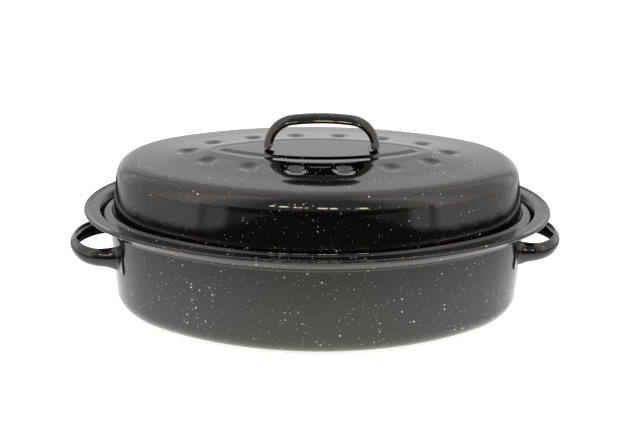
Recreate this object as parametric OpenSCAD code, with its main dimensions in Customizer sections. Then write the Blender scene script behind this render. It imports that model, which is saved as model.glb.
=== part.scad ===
// Oval roasting pan with a domed lid, made of enamelled sheet steel.
// Millimetres. Origin at the middle of the base, X along the pan, Z up.
// Every outline is a parallel of one oval drawn with four arcs.

/* [Rim oval] */
// Length over the rolled rim
rim_length = 380; // [370:1:390]
// Width over the rolled rim
rim_width = 280; // [276:1:290]

/* [Pan] */
// Height of the flat flange above the base
rim_height = 86; // [84:0.5:92]
// Thickness of the pan sheet
pan_sheet = 1; // [0.8:0.1:1.2]
// Diameter of the roll around the rim
roll_diameter = 2.8; // [2.4:0.1:3.4]
// Width of the flat flange, roll included
flange_width = 11.6; // [10.5:0.1:12.4]
// Bend between the flange and the wall of the seat
flange_bend = 1.2; // [1:0.1:2]
// Inset of the corner under the seat wall
seat_inset = 13.5; // [13.3:0.1:13.7]
// Height of the corner under the seat wall
seat_height = 78; // [77.6:0.1:78.1]
// Bend under the seat wall
seat_bend = 2.6; // [2:0.1:3]
// Inset of the pan wall where it flares out
wall_inset = 21.4; // [21.2:0.1:22.2]
// Height at which the pan wall flares out
wall_height = 72; // [71:0.1:72.1]
// Bend where the pan wall flares out
flare_bend = 2.5; // [2:0.1:4]
// Inset of the pan wall carried down to the base
base_inset = 25; // [24:0.1:28]
// Radius between the base and the wall
base_bend = 18; // [12:0.5:22]

/* [Lid] */
// Thickness of the lid sheet
lid_sheet = 0.9; // [0.7:0.1:1]
// Inset of the turned-down lip of the lid
lip_inset = 15.2; // [15.1:0.1:15.8]
// Height of the lower edge of the lip
lip_height = 78.3; // [78.3:0.1:79]
// Bend between the lip and the lid flange
lip_bend = 1.6; // [1.2:0.1:1.8]
// Height of the top of the lid flange
lid_flange_height = 81.7; // [81.3:0.1:83]
// Inset of the foot of the lid wall
lid_wall_inset = 22.6; // [21.5:0.1:24]
// Bend at the foot of the lid wall
lid_wall_bend = 2.8; // [2:0.1:3.5]
// Inset of the shoulder corner
shoulder_inset = 29.7; // [28:0.1:32]
// Height of the shoulder corner
shoulder_height = 123.6; // [122.5:0.1:124.2]
// Radius of the shoulder
shoulder_bend = 15.4; // [12:0.1:18]
// Height of the leaf-shaped panel
panel_height = 131.3; // [130.9:0.1:132]
// Radius of the tips of the panel
panel_tip_radius = 2.5; // [2:0.25:5]
// Bend along the edge of the panel
panel_bend = 5; // [2:0.5:6]
// Width of the slope around the panel
slope_width = 5.2; // [4.6:0.1:6]
// Depth of the groove at the foot of the slope
groove_depth = 0.85; // [0.75:0.05:1.1]
// Bend along the bottom of the groove
groove_bend = 6; // [3:0.5:8]
// Width of the rise beside the groove
ridge_width = 4.3; // [3.8:0.1:5]
// Depth of the ridge beside the groove, below the panel
ridge_depth = 0.7; // [0.5:0.05:0.75]
// Bend along the ridge
ridge_bend = 10; // [4:1:12]
// Width of the steeper stretch outside the ridge
cove_width = 10; // [8:0.5:12]
// Depth below the panel at which the long slope to the shoulder begins
cove_depth = 2.1; // [1.7:0.1:2.4]
// Bend at which the long slope begins
cove_bend = 60; // [20:5:80]

/* [Dimples] */
// Number of dimples along each long side
side_dimples = 6; // [2:2:6]
// Distance of the line of dimples from the edge of the panel
dimple_gap = 27.5; // [25:0.5:29]
// Diameter of each dimple
dimple_diameter = 16; // [12:0.5:18]
// Depth of each dimple
dimple_depth = 2.2; // [1.6:0.1:3]
// Distance between neighbouring dimples along a side
dimple_pitch = 37.2; // [33:0.1:37.5]

/* [Lid handle] */
// Thickness of the strap of the lid handle
lid_strap_sheet = 1.2; // [1:0.1:1.4]
// Length of the lid handle
lid_handle_length = 93; // [90:0.5:96]
// Rise of the lid handle above the panel
lid_handle_rise = 30; // [30:0.5:34]
// Radius of the shoulders of the lid handle
lid_handle_bend = 25.5; // [25:0.25:26.5]
// Width of the strap of the lid handle
lid_strap_width = 18.5; // [16:0.5:20]
// Radius across the back of the strap of the lid handle
lid_strap_crown = 11.8; // [11.2:0.2:18]
// Width of the feet of the lid handle
lid_foot_width = 26; // [22:0.5:28]
// Length of the feet of the lid handle
lid_foot_length = 13; // [10:0.5:16]
// Corner radius of the feet of the lid handle
lid_foot_corner = 4; // [2:0.5:4.5]
// Distance of the lid handle from the middle along the lid
lid_handle_shift = 2.4; // [0:0.1:3]
// Distance of the lid handle from the middle towards the front
lid_handle_front = 3.6; // [0:0.1:4]

/* [Side handles] */
// Thickness of the strap of each side handle
side_strap_sheet = 1.2; // [1:0.1:1.4]
// Width between the outsides of the legs
side_handle_width = 86; // [82:1:90]
// Reach of each side handle beyond the rim
side_handle_reach = 13; // [9:0.5:16]
// Radius of the corners of each side handle
side_handle_bend = 28; // [26:0.5:30]
// Upward tilt of each side handle
side_handle_tilt = 4.2; // [0:0.1:6]
// Height of the feet of the left handle
left_handle_height = 50; // [46:0.5:56]
// Height of the feet of the right handle
right_handle_height = 55.5; // [50:0.5:57]
// Width of the strap at the grip of each side handle
side_strap_width = 14.6; // [12:0.2:16]
// Width of the strap at the feet of each side handle
side_strap_foot_width = 19.2; // [17:0.2:21]
// Length over which the strap widens
side_strap_taper = 18; // [14:0.5:24]
// Radius across the back of the strap
side_strap_crown = 12; // [11.8:0.1:16]
// Height of the feet of each side handle
side_foot_height = 22; // [20:0.5:23]
// Length of each foot along the wall
side_foot_length = 14; // [11:0.5:16]
// Corner radius of the feet
side_foot_corner = 5; // [3:0.5:5]

/* [Hidden] */
$fn = 180;
half_length = rim_length / 2;
half_width = rim_width / 2;
oval_seam = [3, 4];
seam_share = (norm(oval_seam) - oval_seam[1]) / oval_seam[0];
end_radius = (half_width - seam_share * half_length) / (1 - seam_share);
end_centre = half_length - end_radius;
side_centre = end_centre * oval_seam[1] / oval_seam[0];
side_radius = half_width + side_centre;
wedge_share = 4;
step_angle = 12;
step_length = 3;
overrun = 5;
panel_margin = 1.2;
roll_radius = roll_diameter / 2;
roll_sink_share = 0.3;
foot_lap = 3.6;
lid_arch_seam = [7, 24];
side_arch_seam = [3, 4];
whole_height = panel_height + lid_handle_rise + overrun;

// A sheet follows a path of corners, each with its bend radius
function heading(p, i) = atan2(p[i + 1][1] - p[i][1], p[i + 1][0] - p[i][0]);
function folded(a) = a > 180 ? a - 360 : a < -180 ? a + 360 : a;
function turn(p, i) = folded(heading(p, i) - heading(p, i - 1));
function ray(a) = [cos(a), sin(a)];
function bend_steps(p, r, i) =
    ceil(max(abs(turn(p, i)) / step_angle, r[i] * abs(turn(p, i)) * PI / 180 / step_length));
function bend_centre(p, r, i) =
    p[i] + r[i] / cos(turn(p, i) / 2) * ray(heading(p, i - 1) + turn(p, i) / 2 + 90 * sign(turn(p, i)));
function bend_point(p, r, i, k, t) =
    bend_centre(p, r, i)
    + (r[i] - sign(turn(p, i)) * t)
    * ray(heading(p, i - 1) + turn(p, i) * k / bend_steps(p, r, i) - 90 * sign(turn(p, i)));
function face_points(p, r, t) = [
    p[0] + t * ray(heading(p, 0) + 90),
    for (i = [1 : len(p) - 2])
        for (k = [0 : bend_steps(p, r, i)])
            bend_point(p, r, i, k, t),
    p[len(p) - 1] + t * ray(heading(p, len(p) - 2) + 90)
];
function backwards(q) = [for (i = [len(q) - 1 : -1 : 0]) q[i]];
function sheet_outline(p, r, t) = concat(face_points(p, r, 0), backwards(face_points(p, r, t)));

// Corners of the pan section, on its outer face, measured inward from the rim
pan_path = [
    [-base_inset - base_bend - 2 * overrun, 0],
    [-base_inset, 0],
    [-wall_inset, wall_height],
    [-seat_inset, seat_height],
    [-flange_width, rim_height - pan_sheet],
    [-roll_radius, rim_height - pan_sheet]
];
pan_bends = [0, base_bend, flare_bend, seat_bend, flange_bend, 0];

// Inset of the panel, never so great that the lid handle stands beyond its tips
panel_inset = min(
    end_radius - panel_tip_radius,
    half_length - lid_handle_length / 2 - lid_handle_shift - lid_foot_corner - panel_bend
);

// Corners of the lid section, on its upper face
ridge_inset = panel_inset - slope_width - ridge_width;
lid_path = [
    [-panel_inset - panel_margin, panel_height],
    [-panel_inset, panel_height],
    [-panel_inset + slope_width, panel_height - groove_depth],
    [-ridge_inset, panel_height - ridge_depth],
    [-ridge_inset + cove_width, panel_height - cove_depth],
    [-shoulder_inset, shoulder_height],
    [-lid_wall_inset, lid_flange_height],
    [-lip_inset, lid_flange_height],
    [-lip_inset, lip_height]
];
lid_bends = [
    0, panel_bend, groove_bend, ridge_bend, cove_bend, shoulder_bend, lid_wall_bend, lip_bend, 0
];

// Slope and height of the lid on the line of dimples
cove_corner = 4;
long_slope = -heading(lid_path, cove_corner);
dimple_inset = panel_inset - dimple_gap;
dimple_level = shoulder_height + (dimple_inset - shoulder_inset) * tan(long_slope);
dimple_angle = dimple_pitch / (side_radius - dimple_inset) * 180 / PI;

// Outline of the oval, moved inward
module oval(inset) {
    for (a = [0, 180])
        rotate(a) {
            translate([end_centre, 0])
                circle(r = end_radius - inset);
            intersection() {
                translate([0, -side_centre])
                    circle(r = side_radius - inset);
                side_wedge();
            }
        }
}

// The rays on which neighbouring arcs meet pass through both of their centres
module side_wedge() {
    polygon([
        [end_centre, 0],
        [end_centre * wedge_share, side_centre * (wedge_share - 1)],
        [-end_centre * wedge_share, side_centre * (wedge_share - 1)],
        [-end_centre, 0]
    ]);
}

module end_wedge() {
    polygon([
        [end_centre, 0],
        [end_centre * (1 + wedge_share), side_centre * wedge_share],
        [end_centre * (1 + wedge_share), -side_centre * wedge_share]
    ]);
}

// A section carried round the oval, each of the four arcs turned on its own centre
module around_the_oval() {
    for (a = [0, 180])
        rotate(a) {
            intersection() {
                translate([end_centre, 0, 0])
                    rotate_extrude()
                        translate([end_radius, 0])
                            children();
                translate([0, 0, -overrun])
                    linear_extrude(height = whole_height + overrun)
                        end_wedge();
            }
            intersection() {
                translate([0, -side_centre, 0])
                    rotate_extrude()
                        translate([side_radius, 0])
                            children();
                translate([0, 0, -overrun])
                    linear_extrude(height = whole_height + overrun)
                        side_wedge();
            }
        }
}

// Places on the line of dimples, six along each long side and one at each tip
module on_the_dimple_line() {
    for (a = [0, 180])
        rotate(a) {
            translate([end_centre + end_radius - dimple_inset, 0, dimple_level])
                rotate([0, long_slope, 0])
                    children();
            for (k = [0 : side_dimples - 1])
                translate([0, -side_centre, 0])
                    rotate(90 + (k - (side_dimples - 1) / 2) * dimple_angle)
                        translate([side_radius - dimple_inset, 0, dimple_level])
                            rotate([0, long_slope, 0])
                                children();
        }
}

// A strap with a rounded back, bent into an arch that stands on z = 0
// seam is the direction in which the crown arc hands over to the corner arcs
module strap_arch(span, rise, bend, seam, crown, sheet) {
    corner = span / 2 - bend;
    drop = corner * seam[1] / seam[0];
    reach = norm([corner, drop]) + bend;
    level = rise - reach + drop;
    far = 2 * reach / norm(seam);
    translate([0, 0, level - drop])
        rotate([90, 0, 0])
            arc_of_strap(reach, crown, sheet, [[0, 0], seam * far, [-seam[0], seam[1]] * far]);
    for (side = [0, 1])
        mirror([side, 0, 0]) {
            translate([corner, 0, level])
                rotate([90, 0, 0])
                    arc_of_strap(bend, crown, sheet, [[0, 0], [far, 0] * seam[1], seam * far]);
            linear_extrude(height = level)
                translate([span / 2, 0])
                    strap_section(crown, sheet);
        }
}

module arc_of_strap(radius, crown, sheet, wedge) {
    intersection() {
        rotate_extrude()
            translate([radius, 0])
                strap_section(crown, sheet);
        linear_extrude(height = 4 * crown, center = true)
            polygon(wedge);
    }
}

// Half ring whose back touches the Y axis from the left
module strap_section(crown, sheet) {
    intersection() {
        translate([-crown, 0])
            difference() {
                circle(r = crown);
                circle(r = crown - sheet);
            }
        translate([-crown, -2 * crown])
            square([2 * crown, 4 * crown]);
    }
}

// Outline that trims a strap to its width, wider from its root to the start of the taper
module strap_outline(width, foot_width, root, taper_start, taper_end, top) {
    polygon([
        [-foot_width / 2, root],
        [foot_width / 2, root],
        [foot_width / 2, taper_start],
        [width / 2, taper_end],
        [width / 2, top],
        [-width / 2, top],
        [-width / 2, taper_end],
        [-foot_width / 2, taper_start]
    ]);
}

module rounded_plate(length, width, corner) {
    for (x = [corner, length - corner])
        for (y = [-1, 1])
            translate([x, y * (width / 2 - corner)])
                circle(r = corner);
    translate([corner, -width / 2])
        square([length - 2 * corner, width]);
    translate([0, corner - width / 2])
        square([length, width - 2 * corner]);
}

module pan_section() {
    polygon(sheet_outline(pan_path, pan_bends, pan_sheet));
    translate([-roll_radius, rim_height - pan_sheet + roll_radius * roll_sink_share])
        circle(r = roll_radius, $fn = 48);
}

module pan_body() {
    color([0.09, 0.09, 0.1]) {
        around_the_oval()
            pan_section();
        linear_extrude(height = pan_sheet)
            oval(base_inset + base_bend + overrun);
    }
}

module lid_shell() {
    color([0.1, 0.1, 0.11])
        difference() {
            union() {
                around_the_oval()
                    polygon(sheet_outline(lid_path, lid_bends, -lid_sheet));
                translate([0, 0, panel_height - lid_sheet])
                    linear_extrude(height = lid_sheet)
                        oval(panel_inset + panel_margin / 2);
                on_the_dimple_line()
                    dimple_cup();
            }
            on_the_dimple_line()
                dimple_ball(0);
        }
}

// Ball that presses a dimple, its middle above the sheet
module dimple_ball(skin) {
    ball = (dimple_diameter * dimple_diameter / 4 + dimple_depth * dimple_depth) / (2 * dimple_depth);
    translate([0, 0, ball - dimple_depth])
        sphere(r = ball + skin);
}

module dimple_cup() {
    intersection() {
        dimple_ball(lid_sheet);
        translate([0, 0, -dimple_depth - lid_sheet - overrun])
            cylinder(d = dimple_diameter + overrun, h = dimple_depth + lid_sheet / 2 + overrun);
    }
}

module lid_handle() {
    color([0.08, 0.08, 0.09])
        translate([lid_handle_shift, -lid_handle_front, panel_height]) {
            intersection() {
                strap_arch(
                    lid_handle_length, lid_handle_rise, lid_handle_bend,
                    lid_arch_seam, lid_strap_crown, lid_strap_sheet
                );
                translate([-lid_handle_length, -lid_strap_width / 2, 0])
                    cube([2 * lid_handle_length, lid_strap_width, 2 * lid_handle_rise]);
            }
            for (a = [0, 180])
                rotate(a)
                    translate([lid_handle_length / 2 - lid_foot_length, 0, 0])
                        linear_extrude(height = lid_strap_sheet)
                            rounded_plate(lid_foot_length, lid_foot_width, lid_foot_corner);
        }
}

// Reach of the straight part of the pan wall from the end centre, and where a leg meets it
wall_slope = (base_inset - wall_inset) / wall_height;
function wall_radius(z) = end_radius - base_inset + wall_slope * z;
leg_start = sqrt(wall_radius(left_handle_height) ^ 2 - (side_handle_width / 2) ^ 2);
side_rise = end_radius + side_handle_reach;

// All that lies inside the outer face of the pan wall, grown by a skin
module wall_core(skin) {
    around_the_oval()
        polygon([
            [-end_radius, 0],
            [skin - base_inset, 0],
            [skin - wall_inset, wall_height],
            [-end_radius, wall_height]
        ]);
}

module loop_of_strap() {
    intersection() {
        strap_arch(
            side_handle_width, side_rise, side_handle_bend,
            side_arch_seam, side_strap_crown, side_strap_sheet
        );
        rotate([90, 0, 90])
            linear_extrude(height = 2 * side_handle_width, center = true)
                strap_outline(
                    side_strap_width, side_strap_foot_width, leg_start - overrun,
                    leg_start, leg_start + side_strap_taper, side_rise + overrun
                );
    }
}

module side_handle(height) {
    plate_start = leg_start - 2 * side_foot_length;
    difference() {
        union() {
            translate([end_centre + leg_start, 0, height])
                rotate([0, -side_handle_tilt, 0])
                    rotate([90, 0, 90])
                        translate([0, 0, -leg_start])
                            loop_of_strap();
            intersection() {
                wall_core(side_strap_sheet);
                for (side = [0, 1])
                    mirror([0, side, 0])
                        translate([end_centre + plate_start, side_handle_width / 2 - foot_lap, height])
                            rotate([90, 0, 90])
                                linear_extrude(height = end_radius)
                                    rounded_plate(side_foot_length, side_foot_height, side_foot_corner);
            }
        }
        wall_core(0);
    }
}

module side_handle_left() {
    color([0.08, 0.08, 0.09])
        rotate(180)
            side_handle(left_handle_height);
}

module side_handle_right() {
    color([0.08, 0.08, 0.09])
        side_handle(right_handle_height);
}

pan_body();
lid_shell();
lid_handle();
side_handle_left();
side_handle_right();
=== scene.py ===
"""Looks of an oval covered roasting pan in black enamel with pale flecks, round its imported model."""

import math

import bmesh
import bpy
from mathutils import Matrix, Vector


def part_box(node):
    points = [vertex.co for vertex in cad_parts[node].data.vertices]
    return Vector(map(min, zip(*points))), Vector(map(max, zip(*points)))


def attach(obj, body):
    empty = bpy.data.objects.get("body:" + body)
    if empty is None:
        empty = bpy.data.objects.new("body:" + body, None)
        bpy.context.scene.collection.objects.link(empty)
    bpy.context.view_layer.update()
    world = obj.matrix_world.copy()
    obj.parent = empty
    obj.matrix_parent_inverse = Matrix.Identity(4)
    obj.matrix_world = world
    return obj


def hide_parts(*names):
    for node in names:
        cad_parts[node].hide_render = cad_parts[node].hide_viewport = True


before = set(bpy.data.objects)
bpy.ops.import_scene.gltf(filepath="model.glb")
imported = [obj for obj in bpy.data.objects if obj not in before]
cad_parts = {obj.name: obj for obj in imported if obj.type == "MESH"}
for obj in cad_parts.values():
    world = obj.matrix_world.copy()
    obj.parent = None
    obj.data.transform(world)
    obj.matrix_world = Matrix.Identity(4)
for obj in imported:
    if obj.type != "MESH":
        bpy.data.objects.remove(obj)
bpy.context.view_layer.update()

MM = 0.001

# Rim oval, drawn with four arcs, and how many stations the sheets have round it
RIM_LENGTH = 380 * MM
RIM_WIDTH = 280 * MM
END_RADIUS = 115 * MM
STATIONS = 488

# Pan section: inset from the rim and height of each corner of its outer face, with the bend there
PAN_SHEET = 1.0 * MM
PAN_CORNERS = (
    (113.0, 0.0, 0.0),
    (23.0, 0.0, 17.0),
    (19.9, 71.5, 2.0),
    (17.0, 73.8, 1.5),
    (13.5, 78.5, 2.0),
    (11.6, 85.0, 1.2),
    (1.4, 85.0, 0.0),
)
WALL_SLOPE = (PAN_CORNERS[1][0] - PAN_CORNERS[2][0]) / PAN_CORNERS[2][1]
END_CENTRE = RIM_LENGTH / 2 - END_RADIUS

# Roll at the edge of the rim
ROLL_RADIUS = 1.4 * MM
ROLL_LIFT = 0.3 * ROLL_RADIUS
ROLL_START = math.radians(-150)
ROLL_SWEEP = math.radians(305)
ROLL_STEPS = 36

# Lid section: inset, height and bend of each corner of its upper face
LID_SHEET = 0.9 * MM
LID_CORNERS = (
    (114.8, 131.3, 0.0),
    (114.0, 131.3, 2.5),
    (109.0, 129.95, 4.0),
    (102.0, 130.35, 8.0),
    (93.0, 129.2, 60.0),
    (62.0, 126.6, 200.0),
    (28.6, 124.9, 14.5),
    (22.6, 81.7, 2.8),
    (15.2, 81.7, 1.6),
    (15.2, 78.3, 0.0),
)
LIP_STEPS = 6
PANEL_TOP = LID_CORNERS[0][1] * MM

# Dimples pressed into the lid
SIDE_DIMPLES = 6
DIMPLE_INSET = 85 * MM
DIMPLE_DIAMETER = 16 * MM
DIMPLE_DEPTH = 2.2 * MM
DIMPLE_PITCH = 37.2 * MM
DIMPLE_SOFTNESS = 0.5 * MM

# How closely the sheets are drawn
FINE_STEP = 1.3 * MM
COARSE_STEP = 4.0 * MM
BEND_STEP = math.radians(6)
MERGE_DISTANCE = 0.01 * MM


def turned(angle):
    return Vector((math.cos(angle), math.sin(angle)))


def heading(a, b):
    return math.atan2(b[1] - a[1], b[0] - a[0])


def folded(angle):
    """The same turn between half a turn to the right and half a turn to the left."""
    return (angle + math.pi) % (2 * math.pi) - math.pi


def arc(centre, radius, start, sweep, steps):
    """Points along an arc, with both its ends."""
    return [Vector(centre) + radius * turned(start + sweep * k / steps) for k in range(steps + 1)]


def face_of_sheet(corners, depth):
    """Points along one face of a bent sheet, a depth away from the face that the corners describe."""
    spots = [Vector((-inset * MM, height * MM)) for inset, height, _ in corners]
    bends = [bend * MM for _, _, bend in corners]
    points = [spots[0] + depth * turned(heading(spots[0], spots[1]) + math.pi / 2)]
    for i in range(1, len(spots) - 1):
        before = heading(spots[i - 1], spots[i])
        turn = folded(heading(spots[i], spots[i + 1]) - before)
        side = math.copysign(1, turn)
        out = before + turn / 2 + side * math.pi / 2
        middle = spots[i] + bends[i] / math.cos(turn / 2) * turned(out)
        radius = bends[i] - side * depth
        steps = max(2, math.ceil(abs(turn) / BEND_STEP), math.ceil(radius * abs(turn) / FINE_STEP))
        points += arc(middle, radius, before - side * math.pi / 2, turn, steps)
    points.append(spots[-1] + depth * turned(heading(spots[-2], spots[-1]) + math.pi / 2))
    return points


def filled(points):
    """The same line with no stretch longer than the coarse step."""
    line = [points[0]]
    for a, b in zip(points, points[1:]):
        steps = max(1, math.ceil((b - a).length / COARSE_STEP))
        line += [a.lerp(b, k / steps) for k in range(1, steps + 1)]
    return line


def pan_section():
    """From the middle of the base up the outside, round the roll at the rim and down the inside."""
    outer = face_of_sheet(PAN_CORNERS, 0)
    inner = face_of_sheet(PAN_CORNERS, PAN_SHEET)
    middle = (-ROLL_RADIUS, PAN_CORNERS[-1][1] * MM + ROLL_LIFT)
    roll = arc(middle, ROLL_RADIUS, ROLL_START, ROLL_SWEEP, ROLL_STEPS)
    return filled(outer[:-1] + roll + inner[:-1][::-1])


def lid_section():
    """From the middle of the panel down to the lip and back along the underside."""
    upper = face_of_sheet(LID_CORNERS, 0)
    under = face_of_sheet(LID_CORNERS, -LID_SHEET)
    inset, height, _ = LID_CORNERS[-1]
    radius = LID_SHEET / 2
    lip = arc((-inset * MM - radius, height * MM + radius), radius, 0, -math.pi, LIP_STEPS)
    return filled(upper[:-1] + lip + under[:-1][::-1])


def section_object(name, points):
    """The section as a line in its own plane, X measured outward from the rim."""
    mesh = bpy.data.meshes.new(name)
    mesh.from_pydata([(p.x, p.y, 0) for p in points], [(i, i + 1) for i in range(len(points) - 1)], [])
    return bpy.data.objects.new(name, mesh)


class Tree:
    """A geometry node tree written as plain sums."""

    def __init__(self, name):
        self.group = bpy.data.node_groups.new(name, "GeometryNodeTree")
        self.inputs = {}

    def size(self, name, kind, value=None):
        socket = self.group.interface.new_socket(name, in_out="INPUT", socket_type=kind)
        if value is not None:
            socket.default_value = value
        self.inputs[name] = socket.identifier

    def rim(self):
        self.size("Rim length", "NodeSocketFloat", RIM_LENGTH)
        self.size("Rim width", "NodeSocketFloat", RIM_WIDTH)
        self.size("End radius", "NodeSocketFloat", END_RADIUS)

    def start(self):
        self.group.interface.new_socket("Geometry", in_out="OUTPUT", socket_type="NodeSocketGeometry")
        self.source = self.group.nodes.new("NodeGroupInput")
        self.result = self.group.nodes.new("NodeGroupOutput")

    def given(self, name):
        return self.source.outputs[name]

    def add(self, kind, links=(), **values):
        node = self.group.nodes.new(kind)
        for key, value in values.items():
            setattr(node, key, value)
        for key, value in dict(links).items():
            self.feed(node.inputs[key], value)
        return node

    def feed(self, socket, value):
        if isinstance(value, bpy.types.NodeSocket):
            self.group.links.new(value, socket)
        else:
            socket.default_value = value

    def sum(self, operation, *values):
        node = self.group.nodes.new("ShaderNodeMath")
        node.operation = operation
        for socket, value in zip(node.inputs, values):
            self.feed(socket, value)
        return node.outputs[0]

    def place(self, x, y, z):
        return self.add("ShaderNodeCombineXYZ", {0: x, 1: y, 2: z}).outputs[0]

    def parts(self, vector):
        return self.add("ShaderNodeSeparateXYZ", {0: vector}).outputs

    def finish(self, geometry, material):
        real = self.add("GeometryNodeRealizeInstances", {0: geometry}).outputs[0]
        painted = self.add("GeometryNodeSetMaterial", {"Geometry": real, "Material": material})
        self.group.links.new(painted.outputs[0], self.result.inputs[0])


def oval_sizes(tree):
    """Half length, then centre and radius of the end arcs and of the side arcs."""
    half_length = tree.sum("MULTIPLY", tree.given("Rim length"), 0.5)
    half_width = tree.sum("MULTIPLY", tree.given("Rim width"), 0.5)
    end_radius = tree.given("End radius")
    end_centre = tree.sum("SUBTRACT", half_length, end_radius)
    rest = tree.sum("SUBTRACT", half_width, end_radius)
    end_square = tree.sum("MULTIPLY", end_centre, end_centre)
    squares = tree.sum("SUBTRACT", end_square, tree.sum("MULTIPLY", rest, rest))
    side_centre = tree.sum("DIVIDE", squares, tree.sum("MULTIPLY", rest, 2.0))
    side_radius = tree.sum("ADD", half_width, side_centre)
    return half_length, end_centre, end_radius, side_centre, side_radius


def sheet_tree():
    """Carries a section round the oval: a grid of stations along the rim by points of the section."""
    tree = Tree("Sheet round the oval")
    tree.size("Section", "NodeSocketObject")
    tree.rim()
    tree.size("Stations", "NodeSocketInt", STATIONS)
    tree.size("Points", "NodeSocketInt", 2)
    tree.size("Finish", "NodeSocketMaterial")
    tree.start()
    _, end_centre, end_radius, side_centre, side_radius = oval_sizes(tree)
    section = tree.add("GeometryNodeObjectInfo", {"Object": tree.given("Section")}).outputs["Geometry"]
    rows = tree.sum("ADD", tree.given("Stations"), 1)
    grid = tree.add("GeometryNodeMeshGrid", {"Vertices X": rows, "Vertices Y": tree.given("Points")})
    index = tree.add("GeometryNodeInputIndex").outputs[0]
    station = tree.sum("FLOOR", tree.sum("DIVIDE", tree.sum("ADD", index, 0.5), tree.given("Points")))
    along = tree.sum("SUBTRACT", index, tree.sum("MULTIPLY", station, tree.given("Points")))
    angle = tree.sum("DIVIDE", tree.sum("MULTIPLY", station, 2 * math.pi), tree.given("Stations"))
    cosine = tree.sum("COSINE", angle)
    sine = tree.sum("SINE", angle)
    steepness = tree.sum("SUBTRACT", tree.sum("MULTIPLY", tree.sum("ABSOLUTE", cosine), side_centre),
                         tree.sum("MULTIPLY", tree.sum("ABSOLUTE", sine), end_centre))
    at_end = tree.sum("GREATER_THAN", steepness, 0.0)
    at_side = tree.sum("SUBTRACT", 1.0, at_end)
    centre_x = tree.sum("MULTIPLY", tree.sum("MULTIPLY", tree.sum("SIGN", cosine), end_centre), at_end)
    centre_y = tree.sum("MULTIPLY", tree.sum("MULTIPLY", tree.sum("SIGN", sine), side_centre),
                        tree.sum("MULTIPLY", at_side, -1.0))
    end_share = tree.sum("MULTIPLY", end_radius, at_end)
    radius = tree.sum("ADD", end_share, tree.sum("MULTIPLY", side_radius, at_side))
    spot = tree.add("GeometryNodeSampleIndex", {"Geometry": section, "Index": along},
                    data_type="FLOAT_VECTOR")
    tree.feed(spot.inputs["Value"], tree.add("GeometryNodeInputPosition").outputs[0])
    inward, height, _ = tree.parts(spot.outputs[0])
    reach = tree.sum("ADD", radius, inward)
    place = tree.place(
        tree.sum("ADD", centre_x, tree.sum("MULTIPLY", reach, cosine)),
        tree.sum("ADD", centre_y, tree.sum("MULTIPLY", reach, sine)),
        height,
    )
    shaped = tree.add("GeometryNodeSetPosition", {"Geometry": grid.outputs["Mesh"], "Position": place})
    merged = tree.add("GeometryNodeMergeByDistance",
                      {"Geometry": shaped.outputs[0], "Distance": MERGE_DISTANCE})
    tree.finish(merged.outputs[0], tree.given("Finish"))
    return tree


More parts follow.
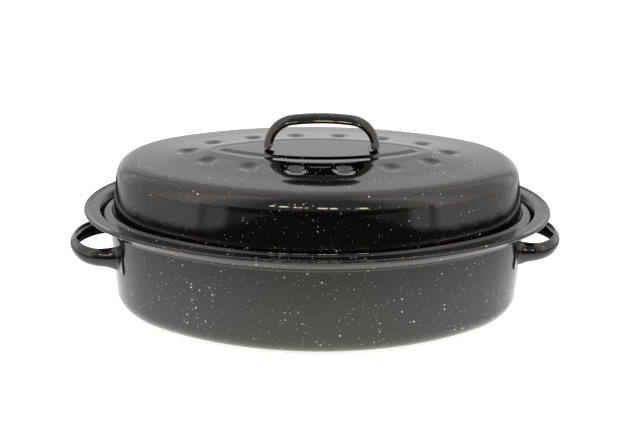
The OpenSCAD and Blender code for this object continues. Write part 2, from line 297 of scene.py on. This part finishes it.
def dimple_tree():
    """Presses a round dimple into the sheet at each place on the dimple line."""
    tree = Tree("Pressed dimples")
    tree.size("Geometry", "NodeSocketGeometry")
    tree.rim()
    tree.size("Inset", "NodeSocketFloat", DIMPLE_INSET)
    tree.size("Count per side", "NodeSocketInt", SIDE_DIMPLES)
    tree.size("Pitch", "NodeSocketFloat", DIMPLE_PITCH)
    tree.size("Diameter", "NodeSocketFloat", DIMPLE_DIAMETER)
    tree.size("Depth", "NodeSocketFloat", DIMPLE_DEPTH)
    tree.size("Edge softness", "NodeSocketFloat", DIMPLE_SOFTNESS)
    tree.size("Finish", "NodeSocketMaterial")
    tree.start()
    half_length, _, _, side_centre, side_radius = oval_sizes(tree)
    reach = tree.sum("SUBTRACT", side_radius, tree.given("Inset"))
    index = tree.add("GeometryNodeInputIndex").outputs[0]
    count = tree.given("Count per side")
    middle = tree.sum("DIVIDE", tree.sum("SUBTRACT", count, 1.0), 2.0)
    from_middle = tree.sum("SUBTRACT", index, middle)
    angle = tree.sum("DIVIDE", tree.sum("MULTIPLY", from_middle, tree.given("Pitch")), reach)
    side_spot = tree.place(
        tree.sum("MULTIPLY", reach, tree.sum("SINE", angle)),
        tree.sum("SUBTRACT", tree.sum("MULTIPLY", reach, tree.sum("COSINE", angle)), side_centre),
        0.0,
    )
    side = tree.add("GeometryNodePoints", {"Count": count, "Position": side_spot}).outputs[0]
    tip_spot = tree.place(tree.sum("SUBTRACT", half_length, tree.given("Inset")), 0.0, 0.0)
    tip = tree.add("GeometryNodePoints", {"Count": 1, "Position": tip_spot}).outputs[0]
    half = tree.add("GeometryNodeJoinGeometry")
    tree.group.links.new(side, half.inputs[0])
    tree.group.links.new(tip, half.inputs[0])
    other = tree.add("GeometryNodeTransform",
                     {"Geometry": half.outputs[0], "Rotation": (0, 0, math.pi)})
    spots = tree.add("GeometryNodeJoinGeometry")
    tree.group.links.new(half.outputs[0], spots.inputs[0])
    tree.group.links.new(other.outputs[0], spots.inputs[0])
    x, y, _ = tree.parts(tree.add("GeometryNodeInputPosition").outputs[0])
    nearest = tree.add("GeometryNodeProximity", {"Geometry": spots.outputs[0]}, target_element="POINTS")
    tree.feed(nearest.inputs["Sample Position"], tree.place(x, y, 0.0))
    distance = nearest.outputs["Distance"]
    half_width = tree.sum("MULTIPLY", tree.given("Diameter"), 0.5)
    depth = tree.given("Depth")
    width_square = tree.sum("MULTIPLY", half_width, half_width)
    squares = tree.sum("ADD", width_square, tree.sum("MULTIPLY", depth, depth))
    ball = tree.sum("DIVIDE", squares, tree.sum("MULTIPLY", depth, 2.0))
    ball_square = tree.sum("MULTIPLY", ball, ball)
    rest = tree.sum("SUBTRACT", ball_square, tree.sum("MULTIPLY", distance, distance))
    drop = tree.sum("SQRT", tree.sum("MAXIMUM", rest, 0.0))
    cup = tree.sum("SUBTRACT", drop, tree.sum("SUBTRACT", ball, depth))
    pressed = tree.sum("SMOOTH_MAX", cup, 0.0, tree.given("Edge softness"))
    lower = tree.place(0.0, 0.0, tree.sum("MULTIPLY", pressed, -1.0))
    shaped = tree.add("GeometryNodeSetPosition", {"Geometry": tree.given("Geometry"), "Offset": lower})
    tree.finish(shaped.outputs[0], tree.given("Finish"))
    return tree


def shaped_by(name, obj, steps):
    """The plain mesh that a row of trees gives, on a new object at the origin."""
    bpy.context.scene.collection.objects.link(obj)
    for tree, values in steps:
        modifier = obj.modifiers.new(tree.group.name, "NODES")
        modifier.node_group = tree.group
        for key, value in values.items():
            modifier[tree.inputs[key]] = value
    graph = bpy.context.evaluated_depsgraph_get()
    mesh = bpy.data.meshes.new_from_object(obj.evaluated_get(graph))
    obj.modifiers.clear()
    bpy.data.objects.remove(obj)
    mesh.name = name
    piece = bpy.data.objects.new(name, mesh)
    bpy.context.scene.collection.objects.link(piece)
    return piece


def closed(data):
    """Closes the open flat ends of a mesh with one face each, and turns its faces outward."""
    mesh = bmesh.new()
    mesh.from_mesh(data)
    edges = [e for e in mesh.edges if e.is_boundary]
    if edges:
        bmesh.ops.holes_fill(mesh, edges=edges, sides=0)
    bmesh.ops.recalc_face_normals(mesh, faces=mesh.faces)
    mesh.to_mesh(data)
    mesh.free()
    data.shade_smooth()


def sheet_piece(name, section, finish, press=None):
    """A closed sheet that follows its section round the oval, pressed by a second tree if given."""
    line = section_object(name + "_section", section)
    blank = bpy.data.objects.new(name + "_blank", bpy.data.meshes.new(name + "_blank"))
    bpy.context.scene.collection.objects.link(line)
    steps = [(sheet_tree(), {"Section": line, "Points": len(section), "Finish": finish})]
    if press:
        steps.append((press, {"Finish": finish}))
    piece = shaped_by(name, blank, steps)
    bpy.data.objects.remove(line)
    closed(piece.data)
    return piece


# Handles: one strap each, bent across to a channel and along an arch, with a foot at each end
# Widths are those of the strap laid flat, the opening is the length over which the channel fades
# The seam is the direction, across and up, in which the crown's arc meets the corner's arc
LID_HANDLE = {
    "length": 93 * MM, "rise": 29.9 * MM, "bend": 25.5 * MM, "seam": (1, 8),
    "sheet": 1.2 * MM, "crown": 7.3 * MM, "half_width": 11.3 * MM,
    "foot_length": 6 * MM, "foot_bend": 2.5 * MM, "foot_corner": 4 * MM, "opening": 20 * MM,
}
SIDE_HANDLE = {
    "bend": 28 * MM, "seam": (3, 4),
    "sheet": 1.2 * MM, "crown": 9 * MM, "half_width": 9 * MM, "foot_half_width": 11.5 * MM,
    "foot_length": 8 * MM, "foot_bend": 3 * MM, "foot_corner": 5 * MM, "opening": 22 * MM,
    "taper": 18 * MM, "wall_blend": 6 * MM,
}
# Name, side, height of the feet, width over the legs and reach of each side handle
SIDE_HANDLES = (
    ("left", -1, 50 * MM, 88.5 * MM, 204.6 * MM),
    ("right", 1, 55.5 * MM, 84.2 * MM, 202 * MM),
)
SIDE_TILT = math.radians(4.2)
# A little of the channel is left at the end of a foot, as if it faded over this much more
FOOT_CURL = 2 * MM

# How closely the straps are drawn, with the angles of the points on their round edges
STRAP_STEP = 1.4 * MM
ACROSS_STEPS = 20
FOOT_STEPS = 14
EDGE_TURNS = (-0.9, -0.3, 0.3, 0.9)


def smooth(x):
    """A soft step from 0 to 1."""
    x = min(1.0, max(0.0, x))
    return x * x * (3 - 2 * x)


def bow(centre, radius, start, end):
    """Points along an arc, without its first."""
    sweep = end - start
    steps = max(2, math.ceil(radius * abs(sweep) / STRAP_STEP), math.ceil(abs(sweep) / BEND_STEP))
    return arc(centre, radius, start, sweep, steps)[1:]


def run(a, b):
    """Points along a straight stretch, without its first."""
    steps = max(1, math.ceil((b - a).length / STRAP_STEP))
    return [a.lerp(b, k / steps) for k in range(1, steps + 1)]


def half_arch(h, length, rise):
    """Half of an arch from the middle of its crown to the top of its leg, on its outer face."""
    corner = length / 2 - h["bend"]
    drop = corner * h["seam"][1] / h["seam"][0]
    reach = math.hypot(corner, drop) + h["bend"]
    level = rise - reach + drop
    split = math.atan2(h["seam"][1], h["seam"][0])
    line = [Vector((0, rise))]
    line += bow(Vector((0, level - drop)), reach, math.pi / 2, split)
    line += bow(Vector((corner, level)), h["bend"], split, 0)
    return line


def strap_ring(curl, half, sheet):
    """Points round the section of a strap bent across: how far across, and how deep below its back."""
    edge = sheet / 2
    reach = half - edge
    step = 2 * reach / ACROSS_STEPS
    flat = [(-reach + step * k, 0) for k in range(ACROSS_STEPS + 1)]
    flat += [(reach + edge * turned(a).x, edge + edge * turned(a).y) for a in EDGE_TURNS]
    flat += [(reach - step * k, sheet) for k in range(ACROSS_STEPS + 1)]
    flat += [(-reach - edge * turned(a).x, edge + edge * turned(a).y) for a in EDGE_TURNS[::-1]]
    radius = 1 / curl
    return [
        ((radius - deep) * math.sin(curl * across), radius - (radius - deep) * math.cos(curl * across))
        for across, deep in flat
    ]


def strap_mesh(name, stations, sheet, finish, place):
    """A closed strap. A station is a spot, the direction of its back, its curl and its half width."""
    rings = [
        [place(spot, back, across, deep) for across, deep in strap_ring(curl, half, sheet)]
        for spot, back, curl, half in stations
    ]
    count = len(rings[0])
    faces = []
    for first in range(0, (len(rings) - 1) * count, count):
        for j in range(count):
            after = (j + 1) % count
            faces.append((first + j, first + after, first + count + after, first + count + j))
    faces.append(tuple(range(count))[::-1])
    faces.append(tuple((len(rings) - 1) * count + j for j in range(count)))
    data = bpy.data.meshes.new(name)
    data.from_pydata([p for ring in rings for p in ring], [], faces)
    closed(data)
    data.materials.append(finish)
    piece = bpy.data.objects.new(name, data)
    bpy.context.scene.collection.objects.link(piece)
    return piece


def both_halves(half):
    """The whole strap from its half, whose first station is the middle of the crown."""
    other = [(Vector((-p.x, p.y)), Vector((-n.x, n.y)), *rest) for p, n, *rest in half[:0:-1]]
    return other + half


def stations_along(line, section):
    """Each point with its back's direction and the section there, by the length of strap left."""
    left = sum((b - a).length for a, b in zip(line, line[1:]))
    result = []
    for i, spot in enumerate(line):
        if i:
            left -= (spot - line[i - 1]).length
        along = (line[min(len(line) - 1, i + 1)] - line[max(0, i - 1)]).normalized()
        result.append((spot, Vector((-along.y, along.x)), *section(max(0.0, left))))
    return result


def rounded_end(half, left, corner, least):
    """Half width of a foot with round corners, left to go before its end."""
    if left >= corner:
        return half
    return max(least, half - corner + math.sqrt(corner * corner - (corner - left) ** 2))


def foot_run(length):
    """Distances along a foot, closer together towards its round end."""
    return [length * (1 - (1 - k / FOOT_STEPS) ** 2) for k in range(1, FOOT_STEPS + 1)]


def lid_handle_piece(finish):
    """The arch on the lid, its feet bent inward flat on the panel."""
    h = LID_HANDLE
    leg, bend, foot = h["length"] / 2, h["foot_bend"], h["foot_length"]
    line = half_arch(h, h["length"], h["rise"])
    line += bow(Vector((leg - bend, bend)), bend, 0, -math.pi / 2)
    line += [Vector((leg - bend - along, 0)) for along in foot_run(foot)]

    def section(left):
        half = rounded_end(h["half_width"], left, h["foot_corner"], h["sheet"])
        return smooth((left + FOOT_CURL) / h["opening"]) / h["crown"], half

    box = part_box("lid_handle")
    middle = (box[0] + box[1]) / 2

    def place(spot, back, across, deep):
        flat_spot = spot - back * deep
        return (middle.x + flat_spot.x, middle.y + across, PANEL_TOP + flat_spot.y)

    stations = both_halves(stations_along(line, section))
    return strap_mesh("lid_handle_strap", stations, h["sheet"], finish, place)


def wall_radius(z):
    """Radius of the pan wall round its end centre at a height."""
    return END_RADIUS - PAN_CORNERS[1][0] * MM + WALL_SLOPE * z


def side_handle_piece(name, side, height, length, tip, finish):
    """A loop that stands off the end of the pan, its feet bent outward along the wall."""
    h = SIDE_HANDLE
    sheet, bend, foot = h["sheet"], h["foot_bend"], h["foot_length"]
    leg = length / 2
    outer = wall_radius(height) + sheet
    hinge = math.sqrt((outer + bend) ** 2 - (leg + bend) ** 2)
    sweep = math.atan2(leg + bend, hinge)
    line = half_arch(h, length, tip - END_CENTRE)
    line += run(line[-1], Vector((leg, hinge)))
    line += bow(Vector((leg + bend, hinge)), bend, math.pi, 1.5 * math.pi - sweep)
    for along in foot_run(foot):
        at = sweep + along / outer
        line.append(outer * Vector((math.sin(at), math.cos(at))))
    flat = foot + bend * (math.pi / 2 - sweep)

    def section(left):
        wide = 1 - smooth((left - flat) / h["taper"])
        half = h["half_width"] + (h["foot_half_width"] - h["half_width"]) * wide
        half = rounded_end(half, left, h["foot_corner"], sheet)
        return smooth((left + FOOT_CURL) / h["opening"]) / h["crown"], half

    def place(spot, back, across, deep):
        flat_spot = spot - back * deep
        x, y, z = flat_spot.y, flat_spot.x, across
        out = x - hinge
        if out > 0:
            x = hinge + out * math.cos(SIDE_TILT) - across * math.sin(SIDE_TILT)
            z = out * math.sin(SIDE_TILT) + across * math.cos(SIDE_TILT)
        reach = math.hypot(x, y)
        on_wall = 1 - smooth((reach - outer) / h["wall_blend"])
        share = 1 + on_wall * WALL_SLOPE * z / reach
        return (side * (END_CENTRE + x * share), side * y * share, height + z)

    return strap_mesh(name, both_halves(stations_along(line, section)), sheet, finish, place)


class Finish:
    """A material, the world or a shader group, written as plain calls."""

    def __init__(self, tree):
        self.tree = tree

    def feed(self, node, links):
        for key, value in links.items():
            if isinstance(value, bpy.types.NodeSocket):
                self.tree.links.new(value, node.inputs[key])
            else:
                node.inputs[key].default_value = value

    def add(self, kind, links=(), **values):
        node = self.tree.nodes.new(kind)
        for key, value in values.items():
            setattr(node, key, value)
        self.feed(node, dict(links))
        return node

    def sum(self, operation, *values, clamp=False):
        node = self.add("ShaderNodeMath", dict(enumerate(values)), operation=operation, use_clamp=clamp)
        return node.outputs[0]

    def between(self, value, low, high, start=0.0, end=1.0, **values):
        """A value that goes from start to end while the given one goes from low to high."""
        node = self.add("ShaderNodeMapRange", {0: value, 1: low, 2: high, 3: start, 4: end}, **values)
        return node.outputs[0]


def value_group(name, inputs, outputs):
    """A shader group of plain values, with its inputs, its outputs and the place on the object."""
    group = bpy.data.node_groups.new(name, "ShaderNodeTree")
    for label, value in inputs.items():
        socket = group.interface.new_socket(label, in_out="INPUT", socket_type="NodeSocketFloat")
        socket.default_value = value
    for label in outputs:
        group.interface.new_socket(label, in_out="OUTPUT", socket_type="NodeSocketFloat")
    f = Finish(group)
    given = f.add("NodeGroupInput").outputs
    return f, given, f.add("ShaderNodeTexCoord").outputs["Object"]


# The two layers of flecks: how closely they are spaced, and their share of the spot size
FLECK_LAYERS = ((1.0, 1.0), (2.1, 0.95))
# The spread and the least value of a fleck's size and of its paleness, as shares
FLECK_SPREAD, FLECK_LEAST = 0.6, 0.5
PALE_SPREAD, PALE_LEAST = 0.8, 0.2
# How the noise turns into more or fewer flecks
CLUSTER_GAIN, CLUSTER_LEVEL = 2.6, -0.7


def fleck_group():
    """How much pale enamel shows, in small irregular spots of two sizes thrown on in clusters."""
    f, given, place = value_group("Enamel flecks", {
        "Spacing": 300.0, "Spot size": 0.26, "Share of spots": 0.4, "Edge": 9.0,
        "Wobble": 0.7 * MM, "Wobble scale": 900.0, "Cluster scale": 45.0,
    }, ["Amount"])
    warp = f.add("ShaderNodeTexNoise", {"Vector": place, "Scale": given["Wobble scale"], "Detail": 1.0})
    shift = f.add("ShaderNodeVectorMath", {0: warp.outputs["Color"], 1: (0.5, 0.5, 0.5)},
                  operation="SUBTRACT")
    shift = f.add("ShaderNodeVectorMath", {0: shift.outputs[0], "Scale": given["Wobble"]},
                  operation="SCALE")
    wobbly = f.add("ShaderNodeVectorMath", {0: place, 1: shift.outputs[0]}, operation="ADD").outputs[0]
    cluster = f.add("ShaderNodeTexNoise",
                    {"Vector": place, "Scale": given["Cluster scale"], "Detail": 2.0})
    thrown = f.sum("MULTIPLY_ADD", cluster.outputs["Fac"], CLUSTER_GAIN, CLUSTER_LEVEL)
    limit = f.sum("MULTIPLY", given["Share of spots"], thrown)
    masks = []
    for closeness, size in FLECK_LAYERS:
        spacing = f.sum("MULTIPLY", given["Spacing"], closeness)
        cells = f.add("ShaderNodeTexVoronoi", {"Vector": wobbly, "Scale": spacing, "Randomness": 1.0})
        pick = f.add("ShaderNodeSeparateColor", {0: cells.outputs["Color"]}).outputs
        chosen = f.sum("LESS_THAN", pick[0], limit)
        varied = f.sum("MULTIPLY_ADD", pick[1], FLECK_SPREAD * size, FLECK_LEAST * size)
        radius = f.sum("MULTIPLY", given["Spot size"], varied)
        spot = f.sum("SUBTRACT", radius, cells.outputs["Distance"])
        soft = f.sum("MULTIPLY", spot, given["Edge"], clamp=True)
        pale = f.sum("MULTIPLY_ADD", pick[2], PALE_SPREAD, PALE_LEAST)
        masks.append(f.sum("MULTIPLY", f.sum("MULTIPLY", soft, pale), chosen))
    f.add("NodeGroupOutput", {"Amount": f.sum("MAXIMUM", *masks)})
    return f.tree


def ripple_group():
    """The slight unevenness of fired enamel: a height for bumps and a little wear in the gloss."""
    f, given, place = value_group("Enamel ripple", {
        "Broad waves": 60.0, "Fine waves": 420.0, "Fine share": 0.12,
    }, ["Height", "Haze"])
    broad = f.add("ShaderNodeTexNoise", {"Vector": place, "Scale": given["Broad waves"], "Detail": 2.0})
    fine = f.add("ShaderNodeTexNoise", {"Vector": place, "Scale": given["Fine waves"], "Detail": 1.0})
    haze = broad.outputs["Fac"]
    height = f.sum("MULTIPLY_ADD", fine.outputs["Fac"], given["Fine share"], haze)
    f.add("NodeGroupOutput", {"Height": height, "Haze": haze})
    return f.tree


BLACK_ENAMEL = (0.0015, 0.0015, 0.0015, 1)
FLECK_ENAMEL = (0.66, 0.66, 0.64, 1)
ENAMEL_IOR = 1.62
HAZE_SHARE = 0.03
RIPPLE_STRENGTH = 0.5
RIPPLE_DEPTH = 0.05 * MM


def enamel(name, flecks, ripple, share, roughness):
    """Black glass enamel with its flecks and ripple, by the share of spots and the least roughness."""
    material = bpy.data.materials.new(name)
    material.use_nodes = True
    f = Finish(material.node_tree)
    speck = f.add("ShaderNodeGroup", {"Share of spots": share}, node_tree=flecks).outputs["Amount"]
    wave = f.add("ShaderNodeGroup", node_tree=ripple).outputs
    colour = f.add("ShaderNodeMix", {0: speck, 6: BLACK_ENAMEL, 7: FLECK_ENAMEL}, data_type="RGBA")
    bump = f.add("ShaderNodeBump", {
        "Height": wave["Height"], "Strength": RIPPLE_STRENGTH, "Distance": RIPPLE_DEPTH,
    })
    shader = next(n for n in material.node_tree.nodes if n.type == "BSDF_PRINCIPLED")
    f.feed(shader, {
        "Base Color": colour.outputs[2],
        "Roughness": f.sum("MULTIPLY_ADD", wave["Haze"], HAZE_SHARE, roughness),
        "Normal": bump.outputs[0],
        "IOR": ENAMEL_IOR,
    })
    return material


# Light of the room by the angle from the front in degrees, divided by the scale to fit a colour ramp
HALF_TURN = 180
ROOM_SCALE = 2.0
ROOM_ROUND = (
    (0, (0.33, 0.33, 0.32)),
    (28, (0.36, 0.36, 0.35)),
    (36, (0.7, 0.68, 0.65)),
    (44, (1.0, 0.94, 0.89)),
    (57, (1.75, 1.6, 1.48)),
    (68, (1.5, 1.38, 1.28)),
    (80, (1.2, 1.14, 1.1)),
    (108, (1.15, 1.12, 1.1)),
    (127, (1.45, 1.42, 1.4)),
    (137, (0.9, 0.9, 0.9)),
    (150, (1.25, 1.25, 1.25)),
    (165, (1.0, 1.0, 1.0)),
    (HALF_TURN, (1.0, 1.0, 1.0)),
)
# Overhead the light is even, and it takes over between these heights in degrees
ZENITH = (0.7, 0.7, 0.7)
ZENITH_HEIGHTS = (66.0, 84.0)
# Below the horizon the room goes dark
HORIZON_HEIGHTS = (-3.0, 0.0)
BELOW_HORIZON = 0.1
# The dark front of the room, with an upright post at each side: its share by the angle from the front
FRONT_SHARE = (
    (0, 1.0), (38.5, 1.0), (42, 0.3), (48, 0.3), (50, 0.65), (51.5, 0.65), (54, 0.0), (HALF_TURN, 0.0),
)
# What is left of the light there, and the heights in degrees between which the dark front ends
FRONT_LOW = 0.15
FRONT_HEIGHTS = (6.0, 12.0)

# A far strip of small warm lamps in front, which shows as a broken line on the lid's front edge
STRIP_COLOUR = (1.0, 0.93, 0.68, 1)
STRIP_HEIGHT = 26.0
STRIP_FALL = -0.22
STRIP_THICKNESS = (3.0, 4.0)
STRIP_REACH = (22.0, 24.0)
STRIP_LIGHT = 12.0
LAMP_SPACING = 0.22
LAMP_EDGES = (0.48, 0.56)

WHITE = (1, 1, 1, 1)


def ramp(f, value, stops, scale):
    """A colour that follows an angle from 0 to half a turn, through the given stops."""
    node = f.add("ShaderNodeValToRGB", {0: f.sum("DIVIDE", value, HALF_TURN)})
    elements = node.color_ramp.elements
    while len(elements) < len(stops):
        elements.new(1.0)
    for element, (at, colour) in zip(elements, stops):
        element.position = at / HALF_TURN
        element.color = (*(c / scale for c in colour), 1)
    return node.outputs[0]


def front_share(f, angle):
    """How much of the low light the dark front of the room takes away, by the angle from the front."""
    return ramp(f, angle, [(at, (share,) * 3) for at, share in FRONT_SHARE], 1.0)


def lamp_strip(f, turn, round_angle, height):
    """Strength of the strip of lamps, by the turn from the front and the height above the horizon."""
    middle = f.sum("MULTIPLY_ADD", turn, STRIP_FALL, STRIP_HEIGHT)
    level = f.between(f.sum("ABSOLUTE", f.sum("SUBTRACT", height, middle)), *STRIP_THICKNESS, 1.0, 0.0)
    reach = f.between(round_angle, *STRIP_REACH, 1.0, 0.0)
    gaps = f.add("ShaderNodeTexNoise", {"W": turn, "Scale": LAMP_SPACING, "Detail": 1.0},
                 noise_dimensions="1D").outputs[0]
    lamps = f.sum("MULTIPLY", f.between(gaps, *LAMP_EDGES), STRIP_LIGHT)
    return f.sum("MULTIPLY", f.sum("MULTIPLY", level, reach), lamps)


def studio():
    """White for the camera. The enamel mirrors soft light at the sides and back and a dim front."""
    world = bpy.data.worlds.new("Studio")
    bpy.context.scene.world = world
    world.use_nodes = True
    world.node_tree.nodes.clear()
    f = Finish(world.node_tree)
    toward = f.add("ShaderNodeTexCoord").outputs["Generated"]
    x, y, z = f.add("ShaderNodeSeparateXYZ", {0: toward}).outputs
    turn = f.sum("DEGREES", f.sum("ARCTAN2", x, f.sum("MULTIPLY", y, -1.0)))
    round_angle = f.sum("ABSOLUTE", turn)
    height = f.sum("DEGREES", f.sum("ARCSINE", z))
    around = ramp(f, round_angle, ROOM_ROUND, ROOM_SCALE)
    overhead = (*(c / ROOM_SCALE for c in ZENITH), 1)
    above = f.between(height, *ZENITH_HEIGHTS)
    colour = f.add("ShaderNodeMix", {0: above, 6: around, 7: overhead}, data_type="RGBA").outputs[2]
    low = f.between(height, *FRONT_HEIGHTS, 1.0, 0.0)
    dark = f.sum("MULTIPLY", front_share(f, round_angle), low)
    dim = f.sum("MULTIPLY_ADD", dark, FRONT_LOW - 1, 1.0)
    horizon = f.between(height, *HORIZON_HEIGHTS, BELOW_HORIZON, 1.0)
    strength = f.sum("MULTIPLY", f.sum("MULTIPLY", dim, horizon), ROOM_SCALE)
    room = f.add("ShaderNodeBackground", {"Color": colour, "Strength": strength}).outputs[0]
    strip = lamp_strip(f, turn, round_angle, height)
    lamps = f.add("ShaderNodeBackground", {"Color": STRIP_COLOUR, "Strength": strip}).outputs[0]
    seen = f.add("ShaderNodeAddShader", {0: room, 1: lamps}).outputs[0]
    white = f.add("ShaderNodeBackground", {"Color": WHITE, "Strength": 1.0}).outputs[0]
    by_camera = f.add("ShaderNodeLightPath").outputs["Is Camera Ray"]
    mix = f.add("ShaderNodeMixShader", {0: by_camera, 1: seen, 2: white})
    f.add("ShaderNodeOutputWorld", {"Surface": mix.outputs[0]})


# The floor that the camera sees
FLOOR_HALF = 3.0
FLOOR_WHITE = (0.85, 0.85, 0.85, 1)
FLOOR_GLOW = 0.75

# Pool of light on the floor round the pan, as the enamel shows it, warmer in the middle
POOL_LENGTHENED = 1.44
POOL_EDGES = (0.10, 0.42)
POOL_LIGHT = 1.6
POOL_TINT = (0.97, 1, 0.87, 1)
POOL_TINT_EDGES = (0.05, 0.15)

# Light on the floor at the far sides, which starts nearer at the back and further off at the front
FLOOR_BEYOND = 0.05
FLOOR_SIDE_LIGHT = 0.95
SIDE_EDGES = (0.74, 0.84)
SIDE_BEND = 0.45
SIDE_BEND_END = -0.13
SIDE_FRONT_LOSS = -0.8


def floor_light(f):
    """Colour and strength of the floor as the enamel mirrors it."""
    x, y, _ = f.add("ShaderNodeSeparateXYZ", {0: f.add("ShaderNodeTexCoord").outputs["Object"]}).outputs
    across = f.sum("ABSOLUTE", x)
    shortened = f.add("ShaderNodeCombineXYZ", {0: f.sum("DIVIDE", x, POOL_LENGTHENED), 1: y})
    reach = f.add("ShaderNodeVectorMath", {0: shortened.outputs[0]}, operation="LENGTH").outputs["Value"]
    pool = f.between(reach, *POOL_EDGES, POOL_LIGHT, 0.0, interpolation_type="SMOOTHSTEP")
    bent = f.sum("MAXIMUM", f.sum("MAXIMUM", y, f.sum("MULTIPLY", y, SIDE_BEND)), SIDE_BEND_END)
    beyond = f.between(f.sum("ADD", bent, across), *SIDE_EDGES, interpolation_type="SMOOTHSTEP")
    angle = f.sum("DEGREES", f.sum("ARCTAN2", across, f.sum("MULTIPLY", y, -1.0)))
    aside = f.sum("MULTIPLY_ADD", front_share(f, angle), SIDE_FRONT_LOSS, 1.0)
    side = f.sum("MULTIPLY_ADD", f.sum("MULTIPLY", beyond, aside), FLOOR_SIDE_LIGHT, FLOOR_BEYOND)
    neutral = f.between(across, *POOL_TINT_EDGES)
    colour = f.add("ShaderNodeMix", {0: neutral, 6: POOL_TINT, 7: WHITE}, data_type="RGBA").outputs[2]
    return colour, f.sum("ADD", pool, side)


def floor():
    """A white floor for the camera, with the light on it that the enamel mirrors."""
    mesh = bpy.data.meshes.new("floor")
    corners = [(x * FLOOR_HALF, y * FLOOR_HALF, 0) for x, y in ((-1, -1), (1, -1), (1, 1), (-1, 1))]
    mesh.from_pydata(corners, [], [(0, 1, 2, 3)])
    obj = bpy.data.objects.new("floor", mesh)
    bpy.context.scene.collection.objects.link(obj)
    paint = bpy.data.materials.new("White floor")
    paint.use_nodes = True
    paint.node_tree.nodes.clear()
    f = Finish(paint.node_tree)
    colour, strength = floor_light(f)
    mirrored = f.add("ShaderNodeEmission", {"Color": colour, "Strength": strength}).outputs[0]
    matt = f.add("ShaderNodeBsdfDiffuse", {"Color": FLOOR_WHITE}).outputs[0]
    glow = f.add("ShaderNodeEmission", {"Color": WHITE, "Strength": FLOOR_GLOW}).outputs[0]
    white = f.add("ShaderNodeAddShader", {0: matt, 1: glow}).outputs[0]
    by_camera = f.add("ShaderNodeLightPath").outputs["Is Camera Ray"]
    both = f.add("ShaderNodeMixShader", {0: by_camera, 1: mirrored, 2: white})
    f.add("ShaderNodeOutputMaterial", {"Surface": both.outputs[0]})
    mesh.materials.append(paint)


# Camera fitted to the outlines in the photograph
SENSOR_WIDTH = 36
CAMERA_LOOK = Vector((0, 0, 60 * MM))
CAMERA_DISTANCE = 830.5 * MM
CAMERA_ELEVATION = 0.3365
CAMERA_AZIMUTH = math.radians(-1.495)
CAMERA_ROLL = 0.0134
CAMERA_FOCAL_SHARE = 995.6 / 643
CAMERA_SHIFT = (0.0062, 0.0285)


def camera():
    data = bpy.data.cameras.new("camera")
    data.sensor_width = SENSOR_WIDTH
    data.lens = SENSOR_WIDTH * CAMERA_FOCAL_SHARE
    data.shift_x, data.shift_y = CAMERA_SHIFT
    obj = bpy.data.objects.new("camera", data)
    bpy.context.scene.collection.objects.link(obj)
    back = Vector((
        math.sin(CAMERA_AZIMUTH) * math.cos(CAMERA_ELEVATION),
        -math.cos(CAMERA_AZIMUTH) * math.cos(CAMERA_ELEVATION),
        math.sin(CAMERA_ELEVATION),
    ))
    obj.rotation_mode = "QUATERNION"
    turn = (-back).to_track_quat("-Z", "Y")
    obj.rotation_quaternion = turn @ Matrix.Rotation(CAMERA_ROLL, 3, "Z").to_quaternion()
    obj.location = CAMERA_LOOK + CAMERA_DISTANCE * back
    bpy.context.scene.camera = obj


def build():
    flecks = fleck_group()
    ripple = ripple_group()
    pan_finish = enamel("Pan enamel", flecks, ripple, share=0.42, roughness=0.03)
    lid_finish = enamel("Lid enamel", flecks, ripple, share=0.28, roughness=0.025)
    handle_finish = enamel("Handle enamel", flecks, ripple, share=0.25, roughness=0.04)
    pan = sheet_piece("pan_sheet", pan_section(), pan_finish)
    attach(pan, "pan")
    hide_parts("pan_body")
    lid = sheet_piece("lid_sheet", lid_section(), lid_finish, dimple_tree())
    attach(lid, "lid")
    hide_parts("lid_shell")
    strap = lid_handle_piece(handle_finish)
    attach(strap, "lid")
    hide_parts("lid_handle")
    for name, side, height, length, tip in SIDE_HANDLES:
        loop = side_handle_piece(f"side_handle_{name}_strap", side, height, length, tip, handle_finish)
        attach(loop, "pan")
        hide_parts(f"side_handle_{name}")


build()
studio()
floor()
camera()
bpy.context.scene.view_settings.view_transform = "Standard"
